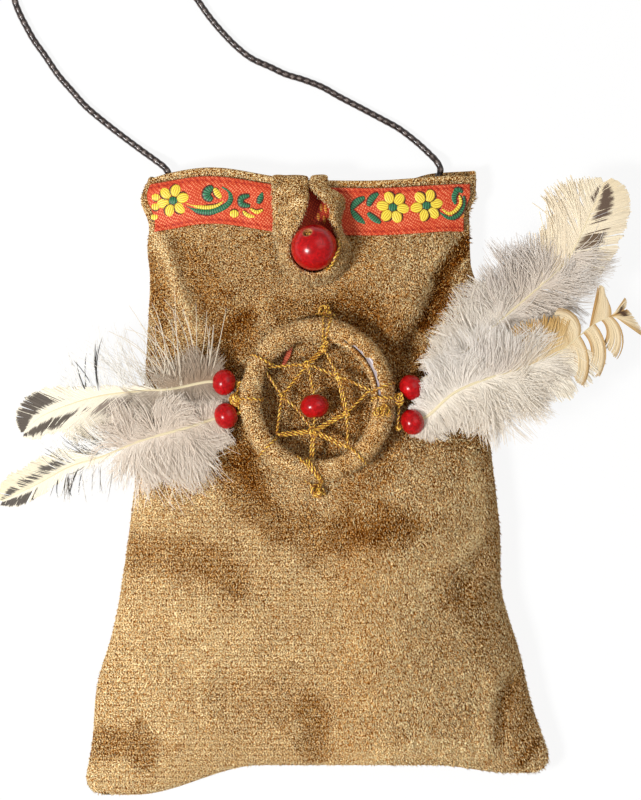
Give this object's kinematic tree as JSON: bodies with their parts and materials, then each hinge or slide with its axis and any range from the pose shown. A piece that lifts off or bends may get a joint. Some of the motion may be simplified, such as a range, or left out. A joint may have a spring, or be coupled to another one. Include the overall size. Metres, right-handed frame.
{
  "type": "shoulder bag",
  "caption": "Flat plush shoulder pouch with a flared base, a ribbon-trimmed mouth closed by a loop over a wooden bead, a thread-web hoop with beads and feathers on the front, and a cord strap.",
  "frame": {"origin": "middle of the back panel, on the surface that the pouch lies on", "axes": "+Z out of the front panel, +Y from the bottom seam to the mouth, +X to the right as the front is seen"},
  "size_m": [0.2025, 0.2967, 0.0299],
  "materials": {
    "plush": "short-pile brown plush with a brushed nap",
    "ribbon": "red woven trim with yellow and green flower scrolls",
    "red_wood": "turned wood, glossy red lacquer",
    "gold_thread": "twisted gold-brown thread",
    "milky_plastic": "milky plastic ring",
    "feather": "natural feathers, grey down, cream vanes with dark tips",
    "waxed_cord": "braided cotton, black wax"
  },
  "bodies": {
    "root": {"front_panel": "plush", "back_panel": "plush", "ribbon_band": "ribbon", "closing_loop": "plush", "button_bead": "red_wood", "button_stitch": "gold_thread", "hoop_core": "milky_plastic", "hoop_wrap": "plush", "web_thread": "gold_thread", "web_bead": "red_wood", "hoop_stitch_top": "gold_thread", "hoop_stitch_bottom": "gold_thread", "left_tie": "gold_thread", "right_tie": "gold_thread", "side_bead_left_upper": "red_wood", "side_bead_left_lower": "red_wood", "side_bead_right_upper": "red_wood", "side_bead_right_lower": "red_wood", "feather_left_upper": "feather", "feather_left_lower": "feather", "feather_right_upper": "feather", "feather_right_lower": "feather", "strap_cord_left": "waxed_cord", "strap_cord_right": "waxed_cord", "strap_coil": "waxed_cord", "strap_tie": "waxed_cord", "strap_tack_left": "gold_thread", "strap_tack_right": "gold_thread"}
  },
  "joints": []
}
